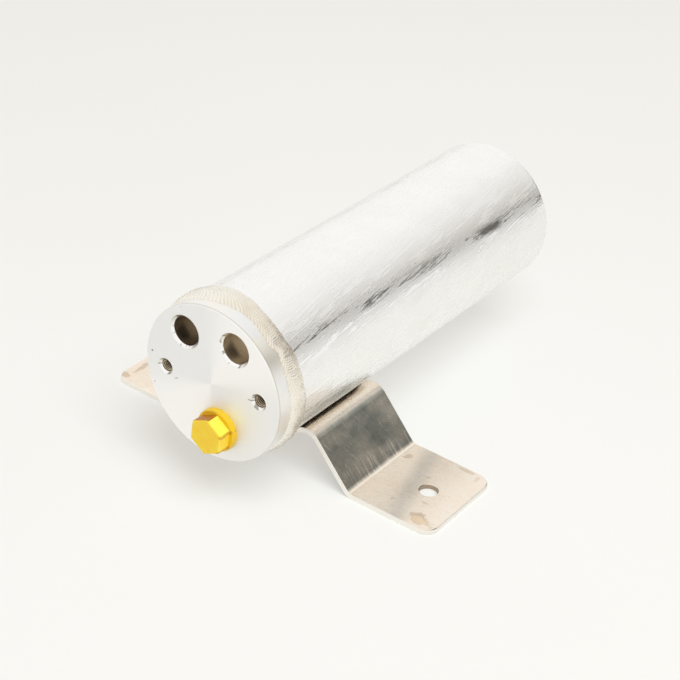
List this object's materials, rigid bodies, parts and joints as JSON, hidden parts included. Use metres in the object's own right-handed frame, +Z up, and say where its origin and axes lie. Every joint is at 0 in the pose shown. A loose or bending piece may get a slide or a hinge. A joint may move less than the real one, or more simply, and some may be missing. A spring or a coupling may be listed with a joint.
{
  "type": "receiver drier",
  "caption": "Refrigerant receiver drier: brushed aluminium can with a welded, turned port head, a yellow plug in its sensor port and a bent aluminium mounting strap welded underneath.",
  "frame": {"origin": "midway between the two foot holes, on the plane that the feet stand on", "axes": "+Y along the can from the port head to the closed end, +Z up from the feet, +X to the right when facing the ports"},
  "size_m": [0.1928, 0.2384, 0.1019],
  "materials": {
    "can_aluminium": "brushed along the can, with fine scratches",
    "head_aluminium": "turned face with fine rings",
    "weld_aluminium": "rippled weld bead, slightly tanned",
    "strap_aluminium": "mill finish sheet with scratches and brown stains",
    "plug_yellow": "moulded, slightly glossy",
    "tube_aluminium": "drawn tube",
    "strainer_plastic": "moulded",
    "plate_steel": "pressed sheet",
    "spring_steel": "spring wire",
    "felt": "pressed felt",
    "drying_beads": "packed beads"
  },
  "bodies": {
    "root": {"can": "can_aluminium", "head": "head_aluminium", "girth_weld": "weld_aluminium", "bracket": "strap_aluminium", "bracket_weld_front": "weld_aluminium", "bracket_weld_rear": "weld_aluminium", "sensor_port_plug": "plug_yellow", "pickup_tube": "tube_aluminium", "pickup_strainer": "strainer_plastic", "upper_perforated_plate": "plate_steel", "upper_filter_pad": "felt", "desiccant_bed": "drying_beads", "lower_filter_pad": "felt", "lower_perforated_plate": "plate_steel", "bed_spring": "spring_steel"}
  },
  "joints": []
}
